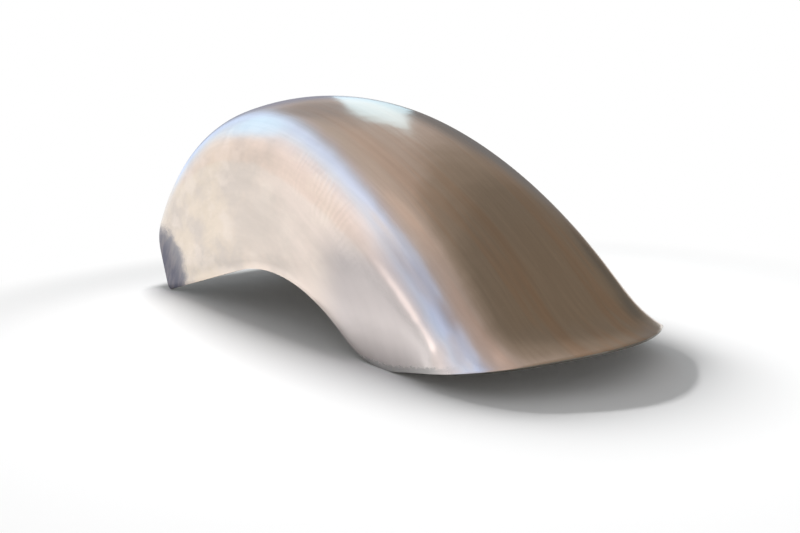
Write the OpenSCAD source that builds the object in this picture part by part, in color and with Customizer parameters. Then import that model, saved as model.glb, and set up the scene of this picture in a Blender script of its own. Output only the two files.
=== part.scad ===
// One-piece rear fender of pressed sheet metal, standing on its own lower edges.
// +X points to the tail, Y = 0 is the plane of symmetry and Z = 0 is the ground.
// The origin lies midway between the front and tail ends of the crown.

/* [Crown line] */
// Height of the crown's highest point over the ground
fender_h = 226; // [205:1:250]
// Radius of the crown line over the top and down the front
front_r = 345; // [320:1:380]
// Angle that the front radius covers ahead of the highest point
front_angle = 46; // [40:1:50]
// Angle that the front radius covers behind the highest point
top_angle = 17; // [12:1:24]
// Radius of the flatter crown line towards the tail
rear_r = 583; // [500:1:700]
// Angle that the rear radius covers
rear_angle = 29.2; // [25:0.1:32]

/* [Tail flare] */
// Radius of the upswept tail, which bends the other way
flare_r = 86; // [60:1:150]
// Angle that the upswept tail covers
flare_angle = 38; // [20:1:45]
// Length of the tail, along the crown line, over which the sides turn outwards
spread_l = 78; // [40:1:100]
// Distance that each side stands out at the end of the tail
spread_w = 31; // [0:1:40]

/* [Cross-section] */
// Width over the two side walls
fender_w = 220; // [190:1:260]
// Radius across the crown
crown_r = 221; // [180:1:320]
// Outer radius of the shoulder between crown and side wall
shoulder_r = 60; // [35:1:75]
// Thickness of the sheet
sheet_t = 2; // [1.5:0.1:3]

/* [Lower edge] */
// Distance of the front foot ahead of the crown's highest point
foot_x = 198.5; // [180:0.5:210]
// Radius of the front foot's rounded corner
foot_r = 9.5; // [5:0.5:20]
// Distance of the side cut-out's apex behind the highest point
arch_x = 56; // [40:1:90]
// Height of the side cut-out's apex over the ground
arch_h = 56.5; // [40:0.5:70]
// Radius of the side cut-out
arch_r = 238; // [180:1:270]
// Radius of the rounded heel behind the cut-out
heel_r = 100; // [50:1:120]

/* [Hidden] */

// Steps along the foot, the straight edge, the cut-out and the heel
FOOT_STEPS = 6;
EDGE_STEPS = 16;
ARCH_STEPS = 20;
HEEL_STEPS = 16;
// Steps round each half of the section and down the side wall
CROWN_STEPS = 7;
SHOULDER_STEPS = 10;
WALL_STEPS = 5;
// Halvings that find where a cut meets the skin, to less than a thousandth of the smallest radius
HALVINGS = 26;
// Power that spreads the cuts along the crown so that most of them stand nearly square to it
CUT_SPREAD = 1.2;

half_w = fender_w / 2;
function heading(a) = [cos(a), sin(a)];
function arc_length(r, angle) = r * angle * PI / 180;
function arc_angle(r, s) = s / r * 180 / PI;

// Side view, as [distance behind the highest point, height]. The three centres of the crown line:
// each lies on the line through the centre before it and the point where the two arcs join.
rear_a = 90 - top_angle;
flare_a = rear_a - rear_angle;
front_c = [0, fender_h - front_r];
rear_c = front_c - (rear_r - front_r) * heading(rear_a);
flare_c = rear_c + (rear_r + flare_r) * heading(flare_a);

// Distances along the crown line behind the highest point
s_front = -arc_length(front_r, front_angle);
s_rear = arc_length(front_r, top_angle);
s_flare = s_rear + arc_length(rear_r, rear_angle);
s_tail = s_flare + arc_length(flare_r, flare_angle);

// Angle of the crown line's outward normal at the distance s along it
function normal_angle(s) =
    s < s_rear ? 90 - arc_angle(front_r, s)
    : s < s_flare ? rear_a - arc_angle(rear_r, s - s_rear)
    : flare_a + arc_angle(flare_r, s - s_flare);

// The point at a depth under the crown line
function under_crown(s, depth) =
    s < s_rear ? front_c + (front_r - depth) * heading(normal_angle(s))
    : s < s_flare ? rear_c + (rear_r - depth) * heading(normal_angle(s))
    : flare_c - (flare_r + depth) * heading(normal_angle(s));

// Length of a line at a depth under the crown line, against the crown line's own
function stretch(s, depth) =
    s < s_rear ? 1 - depth / front_r
    : s < s_flare ? 1 - depth / rear_r
    : 1 + depth / flare_r;

// Distance that the side stands out, and how steeply it leans outwards there
function spread(s) = spread_w * pow(max(0, s - s_tail + spread_l) / spread_l, 2);
function spread_slope(s) = 2 * spread_w * max(0, s - s_tail + spread_l) / pow(spread_l, 2);

crown_front = under_crown(s_front, 0);
crown_tail = under_crown(s_tail, 0);
middle_x = (crown_front[0] + crown_tail[0]) / 2;

// The rounded foot and heel stand on the ground, and the heel runs into the cut-out's curve.
foot_c = [-foot_x, foot_r];
arch_c = [arch_x, arch_h - arch_r];
heel_c = [arch_x + sqrt(2 * arch_h * (arch_r + heel_r) - arch_h * arch_h), heel_r];

// Angle of the point where a straight cut from p touches the circle round c, turned either way
function touch_angle(p, c, r, way) =
    let (v = p - c) atan2(v[1], v[0]) + way * acos(r / norm(v));

// The straight edge touches the foot from below and the cut-out from above.
edge_run = foot_c - arch_c;
edge_a = atan2(edge_run[1], edge_run[0]) - acos((foot_r + arch_r) / norm(edge_run));
foot_start = touch_angle(crown_front, foot_c, foot_r, 1);
foot_end = edge_a + 180;
arch_end = atan2(heel_c[1] - arch_c[1], heel_c[0] - arch_c[0]);
heel_start = arch_end - 180;
heel_end = touch_angle(crown_tail, heel_c, heel_r, -1);

// Points of an arc round c, without its first
function arc_points(c, r, a1, a2, steps) =
    [for (i = [1:steps]) c + r * heading(a1 + (a2 - a1) * i / steps)];

edge_foot = foot_c + foot_r * heading(foot_end);
edge_arch = arch_c + arch_r * heading(edge_a);
lower_edge = concat(
    [foot_c + foot_r * heading(foot_start)],
    arc_points(foot_c, foot_r, foot_start, foot_end, FOOT_STEPS),
    [for (i = [1:EDGE_STEPS]) edge_foot + (edge_arch - edge_foot) * i / EDGE_STEPS],
    arc_points(arch_c, arch_r, edge_a, arch_end, ARCH_STEPS),
    arc_points(heel_c, heel_r, heel_start, heel_end, HEEL_STEPS)
);
ribs = len(lower_edge);

// Distance along the crown line of the point straight outwards from p
function outwards(p) =
    let (v = p - front_c, w = p - rear_c, u = flare_c - p, a1 = atan2(v[1], v[0]), a2 = atan2(w[1], w[0]))
    a1 > rear_a ? arc_length(front_r, 90 - a1)
    : a2 > flare_a ? s_rear + arc_length(rear_r, rear_a - a2)
    : s_flare + arc_length(flare_r, atan2(u[1], u[0]) - flare_a);

// Each rib runs straight, in the side view, from a point of the lower edge up to the crown. The end
// ribs are the front and tail cuts.
function rib_top(p) =
    let (t = (p[0] - lower_edge[0][0]) / (lower_edge[ribs - 1][0] - lower_edge[0][0]))
    s_front + (s_tail - s_front) * pow(t, CUT_SPREAD);

// Distance along the crown line at which the rib from the crown at a to the edge at b has a depth
function rib_place(a, b, depth, low, high, left = HALVINGS) =
    let (s = (low + high) / 2)
    left == 0 ? s
    : cross(b - a, under_crown(s, depth) - a) < 0
        ? rib_place(a, b, depth, s, high, left - 1)
        : rib_place(a, b, depth, low, s, left - 1);

// Stations of the section from the middle of the crown to the top of the side wall, each as
// [distance from the middle, depth, angle that the section has turned, radius there]
shoulder_a = asin((half_w - shoulder_r) / (crown_r - shoulder_r));
shoulder_in = crown_r - (crown_r - shoulder_r) * cos(shoulder_a);
section = concat(
    [for (i = [0:CROWN_STEPS - 1])
        let (a = shoulder_a * i / CROWN_STEPS)
        [crown_r * sin(a), crown_r * (1 - cos(a)), a, crown_r]],
    [for (i = [0:SHOULDER_STEPS])
        let (a = shoulder_a + (90 - shoulder_a) * i / SHOULDER_STEPS)
        [half_w - shoulder_r * (1 - sin(a)), shoulder_in - shoulder_r * cos(a), a, shoulder_r]]
);

// A point of the skin at a station, moved square to the skin by the inset
function skin_point(s, station, inset) =
    let (
        a = station[2],
        m = under_crown(s, station[1]),
        lean = spread_slope(s) / stretch(s, station[1]),
        normal = [-lean * sin(a) * sin(a), sin(a), (1 + spread(s) / station[3]) * cos(a)],
        step = inset * normal / norm(normal),
        out = heading(normal_angle(s))
    )
    [
        m[0] - middle_x - step[0] * out[1] - step[2] * out[0],
        station[0] + spread(s) * sin(a) - step[1],
        m[1] + step[0] * out[0] - step[2] * out[1]
    ];

// The station that the point m of the side wall lies at
function wall_station(m, s) = [half_w, norm(m - under_crown(s, 0)), 90, shoulder_r];

// Half a rib of a skin, from the middle of the crown down to the lower edge at p
function half_rib(p, inset) =
    let (
        s1 = outwards(p),
        s2 = rib_top(p),
        top = under_crown(s2, 0),
        places = [for (q = section) rib_place(top, p, q[1], min(s1, s2), max(s1, s2))],
        last = len(section) - 1,
        eave = under_crown(places[last], section[last][1])
    )
    concat(
        [for (i = [0:last]) skin_point(places[i], section[i], inset)],
        [for (i = [1:WALL_STEPS])
            let (m = eave + (p - eave) * i / WALL_STEPS, s = outwards(m))
            skin_point(s, wall_station(m, s), inset)]
    );

// A whole rib, from the lower edge on the left over the crown to the lower edge on the right
function rib(p, inset) =
    let (half = half_rib(p, inset))
    concat([for (i = [len(half) - 1:-1:1]) [half[i][0], -half[i][1], half[i][2]]], half);

module fender_shell() {
    outer = [for (p = lower_edge) each rib(p, 0)];
    inner = [for (p = lower_edge) each rib(p, sheet_t)];
    across = len(outer) / ribs;
    under = len(outer);
    last = (ribs - 1) * across;
    color("tan")
        polyhedron(
            points = concat(outer, inner),
            faces = concat(
                [for (i = [0:ribs - 2], j = [0:across - 2])
                    let (k = i * across + j)
                    each [[k, k + 1, k + across + 1], [k, k + across + 1, k + across]]],
                [for (i = [0:ribs - 2], j = [0:across - 2])
                    let (k = under + i * across + j)
                    each [[k, k + across + 1, k + 1], [k, k + across, k + across + 1]]],
                [for (i = [0:ribs - 2], j = [0, across - 1])
                    let (k = i * across + j, n = k + across)
                    each j == 0
                        ? [[k, n, n + under], [k, n + under, k + under]]
                        : [[k, n + under, n], [k, k + under, n + under]]],
                [for (j = [0:across - 2], k = [j, last + j])
                    each k == j
                        ? [[k, k + 1 + under, k + 1], [k, k + under, k + 1 + under]]
                        : [[k, k + 1, k + 1 + under], [k, k + 1 + under, k + under]]]
            ),
            convexity = 4
        );
}

fender_shell();
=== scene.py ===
import math
import bpy
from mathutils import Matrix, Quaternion, Vector


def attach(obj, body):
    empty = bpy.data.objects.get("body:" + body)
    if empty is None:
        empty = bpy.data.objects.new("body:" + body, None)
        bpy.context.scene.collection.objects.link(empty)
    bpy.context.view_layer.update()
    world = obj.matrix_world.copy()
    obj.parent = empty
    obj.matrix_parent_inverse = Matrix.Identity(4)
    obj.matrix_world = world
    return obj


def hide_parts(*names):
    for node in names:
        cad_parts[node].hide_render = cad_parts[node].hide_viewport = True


# Bare steel rear fender for a motorcycle, standing on a white studio floor.
# Metres, tail towards +X, left wall at -Y, floor at Z = 0.
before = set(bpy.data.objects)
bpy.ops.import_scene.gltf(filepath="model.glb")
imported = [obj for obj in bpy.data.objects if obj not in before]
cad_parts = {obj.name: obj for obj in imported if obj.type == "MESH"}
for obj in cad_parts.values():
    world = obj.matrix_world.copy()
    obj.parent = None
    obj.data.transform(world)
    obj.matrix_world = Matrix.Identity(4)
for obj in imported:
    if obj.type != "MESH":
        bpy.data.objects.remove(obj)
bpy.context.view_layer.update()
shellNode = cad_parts["fender_shell"]

# seen from behind the left tail corner, a little above, as in the photograph
cameraView = {
    "place": (0.6647, -0.4703, 0.1951),
    "looksAt": (-0.0189, 0.0536, 0.0388),
    "rollDegrees": -1.66,
    "lens": 35.65,
    "nearest": 0.02,
    "farthest": 60,
}


def makeCamera(view):
    place = Vector(view["place"])
    aim = Vector(view["looksAt"]) - place
    bpy.ops.object.camera_add(location=place)
    camera = bpy.context.object
    camera.name = "camera"
    camera.data.lens = view["lens"]
    camera.data.clip_start = view["nearest"]
    camera.data.clip_end = view["farthest"]
    camera.rotation_mode = "QUATERNION"
    roll = Quaternion((0, 0, 1), math.radians(view["rollDegrees"]))
    camera.rotation_quaternion = aim.to_track_quat("-Z", "Y") @ roll
    bpy.context.scene.camera = camera


makeCamera(cameraView)
print("camera placed")


# small helpers for the node trees; a value that comes from a node is linked, any other is set
def addNode(tree, kind, **settings):
    node = tree.nodes.new(kind)
    for name, value in settings.items():
        setattr(node, name, value)
    return node


def plugIn(tree, socket, value):
    if isinstance(value, bpy.types.NodeSocket):
        tree.links.new(value, socket)
    else:
        socket.default_value = value


def setInputs(node, **values):
    for name, value in values.items():
        node.inputs[name].default_value = value


def addMath(tree, operation, *values):
    node = addNode(tree, "ShaderNodeMath", operation=operation)
    for socket, value in zip(node.inputs, values):
        plugIn(tree, socket, value)
    return node.outputs[0]


def addProduct(tree, first, *others):
    for other in others:
        first = addMath(tree, "MULTIPLY", first, other)
    return first


def addLength(tree, first, second):
    squares = addMath(tree, "MULTIPLY_ADD", first, first, addProduct(tree, second, second))
    return addMath(tree, "SQRT", squares)


# a sum of what starts it and of each pattern times its share
def addSum(tree, total, *parts):
    for pattern, share in parts:
        total = addMath(tree, "MULTIPLY_ADD", pattern, share, total)
    return total


# runs from low to high as the factor runs from 0 to 1
def addRange(tree, factor, low, high):
    return addMath(tree, "MULTIPLY_ADD", factor, high - low, low)


# 0 up to the first end and 1 from the second one on, with a soft run between them
def addStep(tree, value, ends):
    node = addNode(tree, "ShaderNodeMapRange", interpolation_type="SMOOTHSTEP")
    setInputs(node, **{"From Min": ends[0], "From Max": ends[1]})
    tree.links.new(value, node.inputs["Value"])
    return node.outputs["Result"]


def addNoise(tree, coordinates, stretch, detail, roughness):
    mapping = addNode(tree, "ShaderNodeMapping")
    setInputs(mapping, Scale=stretch)
    noise = addNode(tree, "ShaderNodeTexNoise")
    setInputs(noise, Scale=1.0, Detail=detail, Roughness=roughness)
    tree.links.new(coordinates, mapping.inputs["Vector"])
    tree.links.new(mapping.outputs["Vector"], noise.inputs["Vector"])
    return noise.outputs["Fac"]


def addMix(tree, factor, first, second, blend="MIX"):
    node = addNode(tree, "ShaderNodeMix", data_type="RGBA", blend_type=blend)
    plugIn(tree, node.inputs[0], factor)
    plugIn(tree, node.inputs[6], first)
    plugIn(tree, node.inputs[7], second)
    return node.outputs[2]


def addShaderMix(tree, factor, first, second):
    node = addNode(tree, "ShaderNodeMixShader")
    for socket, value in zip(node.inputs, (factor, first, second)):
        tree.links.new(value, socket)
    return node.outputs[0]


def addGlow(tree, kind, colour):
    node = addNode(tree, kind)
    setInputs(node, Strength=1.0)
    plugIn(tree, node.inputs["Color"], colour)
    return node.outputs[0]


# 1 for the camera's own rays, and 1 for those mirrored in metal or seen through glass
def addRays(tree):
    rays = addNode(tree, "ShaderNodeLightPath")
    mirrored = addMath(tree, "ADD", rays.outputs["Is Glossy Ray"], rays.outputs["Is Transmission Ray"])
    return rays.outputs["Is Camera Ray"], addMath(tree, "MINIMUM", mirrored, 1.0)


# links the last shader and lays the nodes out in columns, for whoever opens the tree
def finishTree(tree, outputKind, shader, rows=8, columnWidth=240, rowHeight=320):
    out = addNode(tree, outputKind)
    tree.links.new(shader, out.inputs["Surface"])
    for number, node in enumerate(tree.nodes):
        node.location = (columnWidth * (number // rows), -rowHeight * (number % rows))


def emptyMaterial(name):
    material = bpy.data.materials.new(name)
    material.use_nodes = True
    material.node_tree.nodes.clear()
    return material


# the floor is pale paper that takes the fender's shadow and runs out into plain white
studioFloor = {
    "size": 24.0,
    "paper": (0.92, 0.92, 0.92, 1),
    "white": (1, 1, 1, 1),
    "shadowMiddle": (0.07, 0.0, 0.0),
    "runOut": (0.42, 0.62),  # distances from the shadow's middle
}


def floorMaterial(floor):
    material = emptyMaterial("paperFloor")
    tree = material.node_tree
    paper = addNode(tree, "ShaderNodeBsdfDiffuse")
    setInputs(paper, Color=floor["paper"])
    white = addGlow(tree, "ShaderNodeEmission", floor["white"])
    fromMiddle = addNode(tree, "ShaderNodeVectorMath", operation="DISTANCE")
    plugIn(tree, fromMiddle.inputs[0], addNode(tree, "ShaderNodeTexCoord").outputs["Object"])
    plugIn(tree, fromMiddle.inputs[1], floor["shadowMiddle"])
    far = addStep(tree, fromMiddle.outputs["Value"], floor["runOut"])

    # white to the camera and in the metal, and no more than paper to any other ray
    seenWhite = addMath(tree, "ADD", *addRays(tree))
    mixed = addShaderMix(tree, addProduct(tree, far, seenWhite), paper.outputs[0], white)
    finishTree(tree, "ShaderNodeOutputMaterial", mixed)
    return material


def makeFloor(floor):
    bpy.ops.mesh.primitive_plane_add(size=floor["size"], location=(0, 0, 0))
    plane = bpy.context.object
    plane.name = "floor"
    plane.data.materials.append(floorMaterial(floor))


makeFloor(studioFloor)
print("floor laid")

# lamps round the fender, placed by heading, height and distance from the frame's origin;
# heading 0 is beyond the tail and 90 is on the right-hand side
studioLamps = {
    "topLamp": {
        "heading": -178.5, "height": 56.5, "far": 0.600,
        "aim": (0.43, 0.06, 0.0), "turnDegrees": 0, "size": (0.17, 0.17),
        "power": 12.7, "colour": (1.0, 1.0, 1.0),
        "mirrored": False, "even": True,
    },
    "windowPanel": {
        "heading": 139.5, "height": 30.5, "far": 2.6,
        "aim": (0.0, 0.0, 0.0), "turnDegrees": 10, "size": (0.50, 1.46),
        "power": 2.35, "colour": (0.54, 0.80, 0.95),
        "mirrored": True, "even": False,
    },
}


def direction(heading, height):
    around, up = math.radians(heading), math.radians(height)
    return Vector((math.cos(around) * math.cos(up), math.sin(around) * math.cos(up), math.sin(up)))


# the lamp is as bright far off as near by, so that the paper stays evenly white
def evenOut(lamp):
    lamp.data.use_nodes = True
    tree = lamp.data.node_tree
    tree.nodes.clear()
    falloff = addNode(tree, "ShaderNodeLightFalloff")
    setInputs(falloff, Strength=1.0)
    shine = addNode(tree, "ShaderNodeEmission")
    tree.links.new(falloff.outputs["Constant"], shine.inputs["Strength"])
    finishTree(tree, "ShaderNodeOutputLight", shine.outputs[0])


def makeLamp(name, facts):
    place = direction(facts["heading"], facts["height"]) * facts["far"]
    bpy.ops.object.light_add(type="AREA", location=place)
    lamp = bpy.context.object
    lamp.name = name
    lamp.data.shape = "RECTANGLE"
    lamp.data.size, lamp.data.size_y = facts["size"]
    lamp.data.energy = facts["power"]
    lamp.data.color = facts["colour"]
    lamp.rotation_mode = "QUATERNION"
    turn = Quaternion((0, 0, 1), math.radians(facts["turnDegrees"]))
    lamp.rotation_quaternion = (place - Vector(facts["aim"])).to_track_quat("Z", "Y") @ turn
    lamp.visible_camera = False
    lamp.visible_glossy = facts["mirrored"]
    if facts["even"]:
        evenOut(lamp)


for lampName, lampFacts in studioLamps.items():
    makeLamp(lampName, lampFacts)

# the room that the steel mirrors: one large round soft light ahead on the left, cool at its rim,
# in a darker warm room; the far floor's white shows all round the horizon
studioRoom = {
    "lightHeading": -143,
    "lightHeight": 5,
    "rings": [  # angle from the middle of the light, colour
        (180, (0.22, 0.175, 0.135)),
        (118, (0.215, 0.17, 0.13)),
        (104, (0.215, 0.175, 0.14)),
        (94, (0.33, 0.27, 0.225)),
        (84, (0.56, 0.47, 0.43)),
        (74, (0.62, 0.525, 0.48)),
        (66, (0.61, 0.54, 0.505)),
        (61, (0.615, 0.57, 0.60)),
        (57, (0.61, 0.66, 0.79)),
        (53, (0.71, 0.85, 1.13)),
        (50, (0.82, 1.01, 1.40)),
        (47, (0.83, 1.04, 1.42)),
        (43, (0.83, 1.01, 1.31)),
        (38, (0.90, 1.03, 1.21)),
        (32, (0.96, 0.98, 1.06)),
        (26, (1.00, 0.98, 1.00)),
        (20, (1.00, 0.95, 0.94)),
        (0, (0.98, 0.93, 0.90)),
    ],
    "corners": [  # heading, height, angle across, colour of darker and lighter things in the room
        (152, 8, 34, (0.36, 0.38, 0.48)),
        (103, 12, 18, (0.12, 0.112, 0.10)),
        (-105, 77, 18, (0.74, 0.61, 0.55)),
        (-104, 33, 20, (0.78, 0.81, 0.91)),
        (-172, 32, 32, (0.90, 1.24, 1.62)),
        (-111, 43, 12, (0.92, 0.94, 0.99)),
        (-97, 50, 15, (0.70, 0.80, 1.00)),
        (-90, 43, 15, (0.74, 0.84, 1.06)),
        (-120, 4, 15, (2.10, 1.94, 1.86)),
        (151, 37, 32, (0.42, 0.385, 0.385)),
        (128, 12, 38, (0.21, 0.205, 0.21)),
    ],
    "cornerCore": 0.25,  # share of a corner's width that has its full colour
    "horizon": (0.5, 2.5),  # heights over which the white gives way to the room
    "white": (1, 1, 1, 1),
    "softLight": (0.42, 0.42, 0.42, 1),  # what all other rays meet
}


# cosine of the angle between the way that a ray goes and a direction
def addTowards(tree, way, heading, height):
    node = addNode(tree, "ShaderNodeVectorMath", operation="DOT_PRODUCT")
    plugIn(tree, node.inputs[0], way)
    plugIn(tree, node.inputs[1], direction(heading, height))
    return node.outputs["Value"]


def roundLight(tree, way, room):
    towardsLight = addTowards(tree, way, room["lightHeading"], room["lightHeight"])
    ramp = addNode(tree, "ShaderNodeValToRGB")
    ramp.color_ramp.interpolation = "EASE"
    stops = ramp.color_ramp.elements
    while len(stops) < len(room["rings"]):
        stops.new(0.5)
    for stop, (angle, colour) in zip(stops, room["rings"]):
        stop.position = (1 + math.cos(math.radians(angle))) / 2
        stop.color = (*colour, 1)
    plugIn(tree, ramp.inputs["Fac"], addMath(tree, "MULTIPLY_ADD", towardsLight, 0.5, 0.5))
    return ramp.outputs["Color"]


def addCorners(tree, way, colour, room):
    for heading, height, across, cornerColour in room["corners"]:
        rim = math.cos(math.radians(across / 2))
        core = math.cos(math.radians(across / 2 * room["cornerCore"]))
        near = addStep(tree, addTowards(tree, way, heading, height), (rim, core))
        colour = addMix(tree, near, colour, (*cornerColour, 1))
    return colour


def makeRoom(room):
    world = bpy.data.worlds.new("studioRoom")
    bpy.context.scene.world = world
    world.use_nodes = True
    tree = world.node_tree
    tree.nodes.clear()
    way = addNode(tree, "ShaderNodeTexCoord").outputs["Generated"]
    colour = addCorners(tree, way, roundLight(tree, way, room), room)
    split = addNode(tree, "ShaderNodeSeparateXYZ")
    tree.links.new(way, split.inputs[0])
    overHorizon = addStep(tree, split.outputs["Z"], [math.sin(math.radians(a)) for a in room["horizon"]])

    white = addGlow(tree, "ShaderNodeBackground", room["white"])
    roomLight = addGlow(tree, "ShaderNodeBackground", colour)
    softLight = addGlow(tree, "ShaderNodeBackground", room["softLight"])
    toCamera, mirrored = addRays(tree)
    inMetal = addShaderMix(tree, overHorizon, white, roomLight)
    notSeen = addShaderMix(tree, mirrored, softLight, inMetal)
    finishTree(tree, "ShaderNodeOutputWorld", addShaderMix(tree, toCamera, notSeen, white))


makeRoom(studioRoom)
bpy.context.scene.view_settings.view_transform = "Standard"
print("studio lights set")

# the wheel that the fender covers; polishing marks follow its round
wheelRound = {
    "centreX": -0.0764,
    "centreZ": -0.119,
    "patternSpan": 0.3,  # metres of pattern to each radian round the wheel
}


# a point's place on the shell's own axes and round the wheel
def shellPlaces(tree, wheel):
    own = addNode(tree, "ShaderNodeTexCoord").outputs["Object"]
    split = addNode(tree, "ShaderNodeSeparateXYZ")
    tree.links.new(own, split.inputs[0])
    x, y, z = split.outputs
    behind = addMath(tree, "SUBTRACT", x, wheel["centreX"])
    over = addMath(tree, "SUBTRACT", z, wheel["centreZ"])
    turned = addMath(tree, "ARCTAN2", behind, over)
    outwards = addLength(tree, behind, over)
    along = addProduct(tree, turned, wheel["patternSpan"])
    wheelPlace = addNode(tree, "ShaderNodeCombineXYZ")
    for socket, value in zip(wheelPlace.inputs, (along, y, outwards)):
        tree.links.new(value, socket)
    return {"own": own, "x": x, "y": y, "z": z, "turned": turned, "outwards": outwards,
            "roundWheel": wheelPlace.outputs[0]}


# coordinates, stretch, detail and roughness of each noise on the steel
steelNoises = {
    "clouds": ("own", (9, 9, 13), 4.0, 0.6),
    "patches": ("own", (26, 26, 34), 3.0, 0.5),
    "streaks": ("roundWheel", (6, 190, 40), 5.0, 0.7),
    "brownBands": ("roundWheel", (2.5, 42, 12), 3.0, 0.6),
    "wallStreaks": ("roundWheel", (30, 60, 160), 3.0, 0.5),
    "wander": ("own", (30, 30, 30), 2.0, 0.5),
    "worked": ("roundWheel", (40, 60, 70), 2.0, 0.6),
    "ragged": ("own", (40, 40, 60), 6.0, 0.7),
    "specks": ("own", (420, 420, 420), 2.0, 0.6),
    "waves": ("own", (17, 17, 24), 2.0, 0.45),
    "grain": ("own", (700, 700, 700), 2.0, 0.6),
}

# The tables below hold colours, single values, and pairs, which are the two ends of a soft run:
# places in the frame, distances, or levels of a noise.

# a row of short ripples under the left wall's shoulder, where the sheet was worked by hand
handRipples = {
    "perRadian": 270.0,
    "wander": 22.0,
    "worked": (0.40, 0.58),  # level of the noise
    "innerEnd": (0.270, 0.292),  # distances from the wheel's centre
    "outerEnd": (0.326, 0.306),
    "frontEnd": (0.00, 0.05),
    "backEnd": (0.150, 0.105),
    "leftWall": (-0.05, -0.09),
}


def addRipples(tree, at, noises, ripples):
    around = addProduct(tree, at["turned"], ripples["perRadian"])
    around = addSum(tree, around, (noises["wander"], ripples["wander"]))
    return addProduct(
        tree,
        addMath(tree, "SINE", around),
        addStep(tree, noises["worked"], ripples["worked"]),
        addStep(tree, at["outwards"], ripples["innerEnd"]),
        addStep(tree, at["outwards"], ripples["outerEnd"]),
        addStep(tree, at["x"], ripples["frontEnd"]),
        addStep(tree, at["x"], ripples["backEnd"]),
        addStep(tree, at["y"], ripples["leftWall"]),
    )


# the walls are cream at the front and pinker behind, with clouds, and greyer towards the heel as a
# painted reflection of the floor's shadow
wallSteel = {
    "cream": (0.835, 0.72, 0.60, 1),
    "pink": (0.86, 0.74, 0.665, 1),
    "creamToPink": (-0.16, 0.04),
    "cloud": (0.72, 0.635, 0.57, 1),
    "cloudRim": (0.43, 0.63),
    "cloudyAhead": (0.05, -0.02),
    "leastCloud": 0.4,
    "polished": (0.90, 0.79, 0.70, 1),
    "patchRim": (0.50, 0.64),
    "patchShare": 0.55,
    "dullX": -0.035,
    "dullZ": 0.100,
    "dullFlattened": 0.55,
    "dullRagged": -0.05,
    "dullRim": (0.030, -0.016),
    "dullShare": 0.9,
    # painted reflection of the floor's shadow at the heel, lighter at its foot
    "heel": (0.56, 0.51, 0.50, 1),
    "heelBehind": (0.055, 0.120),
    "heelBelow": (0.120, 0.078),
    "heelFoot": (0.68, 0.625, 0.61, 1),
    "footBelow": (0.056, 0.022),
}


def wallColour(tree, at, noises, wall):
    colour = addMix(tree, addStep(tree, at["x"], wall["creamToPink"]), wall["cream"], wall["pink"])

    # soft clouds, a hand wide, and paler patches where it was polished a little more
    ahead = addRange(tree, addStep(tree, at["x"], wall["cloudyAhead"]), wall["leastCloud"], 1.0)
    cloudy = addProduct(tree, addStep(tree, noises["clouds"], wall["cloudRim"]), ahead)
    colour = addMix(tree, cloudy, colour, wall["cloud"])
    polished = addProduct(tree, addStep(tree, noises["patches"], wall["patchRim"]), wall["patchShare"])
    colour = addMix(tree, polished, colour, wall["polished"])

    # one larger dull cloud in the middle of the wall
    alongDull = addProduct(tree, addMath(tree, "SUBTRACT", at["x"], wall["dullX"]), wall["dullFlattened"])
    overDull = addMath(tree, "SUBTRACT", at["z"], wall["dullZ"])
    fromDull = addSum(tree, addLength(tree, alongDull, overDull), (noises["clouds"], wall["dullRagged"]))
    dull = addProduct(tree, addStep(tree, fromDull, wall["dullRim"]), wall["dullShare"])
    colour = addMix(tree, dull, colour, wall["cloud"])

    # painted reflection of the floor's shadow at the heel: greyer, a little lighter at its foot
    behind = addStep(tree, at["x"], wall["heelBehind"])
    shadowReflectionAtHeel = addProduct(tree, behind, addStep(tree, at["z"], wall["heelBelow"]))
    heel = addMix(tree, addStep(tree, at["z"], wall["footBelow"]), wall["heel"], wall["heelFoot"])
    return addMix(tree, shadowReflectionAtHeel, colour, heel)


# the crown is greyer, partly as a painted reflection of the darker room above it, with brown bands that
# grow stronger towards the tail
crownSteelAndReflection = {
    "plain": (0.70, 0.635, 0.555, 1),
    "brown": (0.72, 0.595, 0.485, 1),
    "bandRim": (0.46, 0.62),
    "browner": (0.08, 0.24),
    "leastBrown": 0.5,
    "edge": (0.106, 0.070),  # distances from the middle of the fender's width
}


def addCrown(tree, at, noises, colour, crown):
    browner = addRange(tree, addStep(tree, at["x"], crown["browner"]), crown["leastBrown"], 1.0)
    brown = addProduct(tree, addStep(tree, noises["brownBands"], crown["bandRim"]), browner)
    crownColour = addMix(tree, brown, crown["plain"], crown["brown"])
    onCrown = addStep(tree, addMath(tree, "ABSOLUTE", at["y"]), crown["edge"])
    return addMix(tree, onCrown, colour, crownColour)


# the polishing streaks make the steel a little lighter and darker, and the ripples carry painted shade
# along their waves
steelShade = {
    "streakRim": (0.30, 0.72),
    "streaks": (0.94, 1.03),
    "ripples": 0.024,
}


def addShade(tree, noises, ripples, colour, shade):
    # painted shade of the ripples is added to the streaks' tone
    streaked = addRange(tree, addStep(tree, noises["streaks"], shade["streakRim"]), *shade["streaks"])
    grey = addNode(tree, "ShaderNodeCombineColor")
    for socket in grey.inputs:
        tree.links.new(addSum(tree, streaked, (ripples, shade["ripples"])), socket)
    return addMix(tree, 1.0, colour, grey.outputs[0], blend="MULTIPLY")


# painted dark reflection on the left wall's front end, ragged at its edge and darkest at the foot
frontDarkReflection = {
    "tone": (0.36, 0.35, 0.37, 1),
    "foot": (0.11, 0.11, 0.16, 1),
    "ragged": 0.045,
    "backEdge": -0.241,
    "narrower": (0.040, 0.084),
    "narrowBy": -0.042,
    "backRim": (-0.009, 0.018),
    "topRim": (0.064, 0.040),
    "leftWall": (-0.09, -0.107),
    "footX": -0.25,
    "towardsFoot": (0.085, 0.0),
    "streakRim": (0.35, 0.65),
    "leastCover": 0.86,
}


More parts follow.
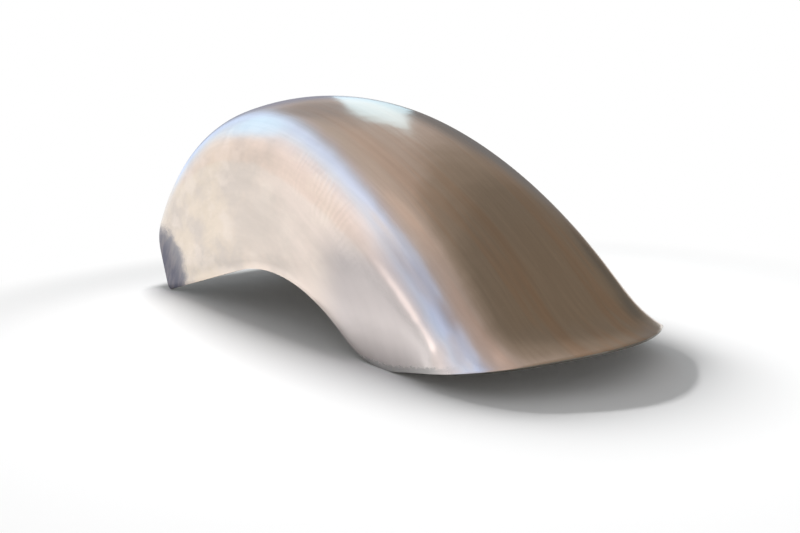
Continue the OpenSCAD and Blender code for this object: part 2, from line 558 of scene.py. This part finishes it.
def darkReflectionMask(tree, at, noises, darkReflection):
    narrower = addStep(tree, at["z"], darkReflection["narrower"])
    ragged = (noises["ragged"], darkReflection["ragged"])
    backEdge = addSum(tree, darkReflection["backEdge"], ragged, (narrower, darkReflection["narrowBy"]))
    top = addSum(tree, at["z"], (noises["ragged"], -darkReflection["ragged"]))
    return addProduct(
        tree,
        addStep(tree, addMath(tree, "SUBTRACT", backEdge, at["x"]), darkReflection["backRim"]),
        addStep(tree, top, darkReflection["topRim"]),
        addStep(tree, at["y"], darkReflection["leftWall"]),
    )


def addDarkReflection(tree, at, noises, colour, mask, darkReflection):
    fromFoot = addMath(tree, "ADD", at["z"], addMath(tree, "SUBTRACT", at["x"], darkReflection["footX"]))
    tone = addMix(tree, addStep(tree, fromFoot, darkReflection["towardsFoot"]), darkReflection["tone"], darkReflection["foot"])
    streaked = addStep(tree, noises["wallStreaks"], darkReflection["streakRim"])
    cover = addProduct(tree, mask, addRange(tree, streaked, darkReflection["leastCover"], 1.0))
    return addMix(tree, cover, colour, tone)


# grey speckled band along the heel's edge; the edge rises in an arc and then runs straight
heelBand = {
    "tone": (0.42, 0.42, 0.41, 1),
    "share": 0.85,
    "heelX": 0.167,
    "heelRadius": 0.100,
    "roundLength": 0.0208,
    "width": 0.0022,
    "speckled": 0.006,
    "rim": (-0.0012, 0.0022),
    "frontEnd": (0.11, 0.15),
    "backEnd": (0.262, 0.225),
}


def bandMask(tree, at, noises, band):
    past = addMath(tree, "SUBTRACT", at["x"], band["heelX"])
    roundPart = addMath(tree, "MINIMUM", addMath(tree, "MAXIMUM", past, 0.0), band["roundLength"])
    straightPart = addMath(tree, "MAXIMUM", addMath(tree, "SUBTRACT", past, band["roundLength"]), 0.0)
    edge = addProduct(tree, roundPart, roundPart, 0.5 / band["heelRadius"])
    edge = addSum(tree, edge, (straightPart, band["roundLength"] / band["heelRadius"]))
    top = addSum(tree, band["width"], (noises["specks"], band["speckled"]))
    underTop = addMath(tree, "SUBTRACT", top, addMath(tree, "SUBTRACT", at["z"], edge))
    return addProduct(
        tree,
        addStep(tree, underTop, band["rim"]),
        addStep(tree, at["x"], band["frontEnd"]),
        addStep(tree, at["x"], band["backEnd"]),
    )


# bare pressed steel: polished along its length, cloudy on the walls, with painted dark reflections at the
# front end and at the heel, a grey speckled band along the heel's edge, and left duller on the inside
bareSteel = {
    "inside": (0.50, 0.48, 0.45, 1),
    "cutEdge": (0.22, 0.205, 0.18, 1),
    "roughness": 0.09,
    "rougher": {  # what each pattern adds to the roughness
        "streaks": 0.12, "clouds": 0.06, "darkReflection": 0.18, "band": 0.25, "inside": 0.25, "cutEdge": 0.25,
    },
    "relief": {"ripples": 0.034, "wallStreaks": 0.035, "streaks": 0.014, "grain": 0.006},
    "reliefDepth": 0.0009,
}


def steelMaterial(metal):
    material = emptyMaterial("bareSteel")
    tree = material.node_tree
    at = shellPlaces(tree, wheelRound)
    patterns = {name: addNoise(tree, at[where], stretch, detail, roughness)
                for name, (where, stretch, detail, roughness) in steelNoises.items()}
    patterns["ripples"] = addRipples(tree, at, patterns, handRipples)
    patterns["darkReflection"] = darkReflectionMask(tree, at, patterns, frontDarkReflection)
    patterns["band"] = bandMask(tree, at, patterns, heelBand)
    patterns["inside"] = addNode(tree, "ShaderNodeAttribute", attribute_name="insideFace").outputs["Fac"]
    patterns["cutEdge"] = addNode(tree, "ShaderNodeAttribute", attribute_name="cutEdge").outputs["Fac"]

    # the crown's greyer tone is partly a painted reflection of the darker room
    colour = addCrown(tree, at, patterns, wallColour(tree, at, patterns, wallSteel), crownSteelAndReflection)
    colour = addShade(tree, patterns, patterns["ripples"], colour, steelShade)
    # painted dark reflection on the front end of the left wall
    colour = addDarkReflection(tree, at, patterns, colour, patterns["darkReflection"], frontDarkReflection)
    colour = addMix(tree, addProduct(tree, patterns["band"], heelBand["share"]), colour, heelBand["tone"])
    for part in ("inside", "cutEdge"):
        colour = addMix(tree, patterns[part], colour, metal[part])

    rougher = [(patterns[name], more) for name, more in metal["rougher"].items()]
    rough = addSum(tree, metal["roughness"], *rougher)

    # slow waves in the hand-worked walls, with the ripples, the fine polishing lines and a grain on top
    onWaves = [(patterns[name], rise) for name, rise in metal["relief"].items()]
    relief = addSum(tree, patterns["waves"], *onWaves)
    bump = addNode(tree, "ShaderNodeBump")
    setInputs(bump, Strength=1.0, Distance=metal["reliefDepth"])
    tree.links.new(relief, bump.inputs["Height"])

    steel = addNode(tree, "ShaderNodeBsdfPrincipled")
    setInputs(steel, Metallic=1.0)
    tree.links.new(colour, steel.inputs["Base Color"])
    tree.links.new(rough, steel.inputs["Roughness"])
    tree.links.new(bump.outputs["Normal"], steel.inputs["Normal"])
    finishTree(tree, "ShaderNodeOutputMaterial", steel.outputs[0])
    return material


# the shell: the sheet's own mesh in squares, smoothed once, with its cut edges rounded off
fenderShell = {
    "mergeDistance": 0.00001,
    "squareDegrees": (30, 80),  # the most that a square made of two triangles may bend and be skewed
    "rimDegrees": 50,
    "smoothLevels": 1,
    "rounding": 0.0005,
    "roundingSteps": 3,
    "leastHeight": 0.02,  # what stands lower counts as this high when inside is told from outside
    "inwards": -0.0005,
}


def copyOf(node, name):
    bpy.ops.object.select_all(action="DESELECT")
    node.select_set(True)
    bpy.context.view_layer.objects.active = node
    bpy.ops.object.duplicate()
    copy = bpy.context.object
    copy.name = name
    copy.parent = None
    for key in [key for key in copy.keys() if key.startswith("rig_")]:
        del copy[key]
    return copy


def addModifier(shell, kind, **settings):
    bpy.ops.object.modifier_add(type=kind)
    modifier = shell.modifiers[-1]
    for name, value in settings.items():
        setattr(modifier, name, value)
    bpy.ops.object.modifier_apply(modifier=modifier.name)


# merged into squares, with every edge of the cut sheet creased
def squareUp(shell, facts):
    faceAngle, shapeAngle = [math.radians(angle) for angle in facts["squareDegrees"]]
    bpy.ops.object.mode_set(mode="EDIT")
    bpy.ops.mesh.select_all(action="SELECT")
    bpy.ops.mesh.remove_doubles(threshold=facts["mergeDistance"])
    bpy.ops.mesh.tris_convert_to_quads(face_threshold=faceAngle, shape_threshold=shapeAngle)
    bpy.ops.mesh.select_all(action="DESELECT")
    bpy.ops.mesh.select_mode(type="EDGE")
    bpy.ops.mesh.edges_select_sharp(sharpness=math.radians(facts["rimDegrees"]))
    bpy.ops.transform.edge_crease(value=1.0)
    bpy.ops.object.mode_set(mode="OBJECT")
    triangles = len([face for face in shell.data.polygons if len(face.vertices) == 3])
    print("sheet in squares,", triangles, "triangles left of", len(shell.data.polygons), "faces")


# the faces of the cut edge lie between two sharp edges that don't meet
def markCutEdge(shell):
    creases = shell.data.attributes["crease_edge"].data
    sharpEdges = {edge.key for edge in shell.data.edges if creases[edge.index].value > 0.5}
    cut = shell.data.attributes.new("cutEdge", "FLOAT", "FACE")
    for face in shell.data.polygons:
        sharp = [key for key in face.edge_keys if key in sharpEdges]
        apart = any(not set(one) & set(other) for one in sharp for other in sharp)
        cut.data[face.index].value = 1.0 if apart else 0.0
    print("cut edge faces", len([mark for mark in cut.data if mark.value > 0.5]))


# the faces that look inwards, towards the wheel
def markInside(shell, facts):
    inside = shell.data.attributes.new("insideFace", "FLOAT", "FACE")
    for face in shell.data.polygons:
        height = max(face.center.z, facts["leastHeight"])
        outwards = face.normal.y * face.center.y + face.normal.z * height
        inside.data[face.index].value = 1.0 if outwards < facts["inwards"] else 0.0


def makeShell(node, facts, metal):
    shell = copyOf(node, "fenderSheet")
    squareUp(shell, facts)
    markCutEdge(shell)
    bpy.ops.object.shade_smooth()
    addModifier(shell, "SUBSURF", levels=facts["smoothLevels"], use_limit_surface=False)
    addModifier(shell, "BEVEL", width=facts["rounding"], segments=facts["roundingSteps"],
                limit_method="ANGLE", angle_limit=math.radians(facts["rimDegrees"]), harden_normals=True)
    markInside(shell, facts)
    shell.data.materials.clear()
    shell.data.materials.append(steelMaterial(metal))
    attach(shell, "root")
    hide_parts("fender_shell")
    return shell


shell = makeShell(shellNode, fenderShell, bareSteel)
print("shell dressed,", len(shell.data.polygons), "faces")
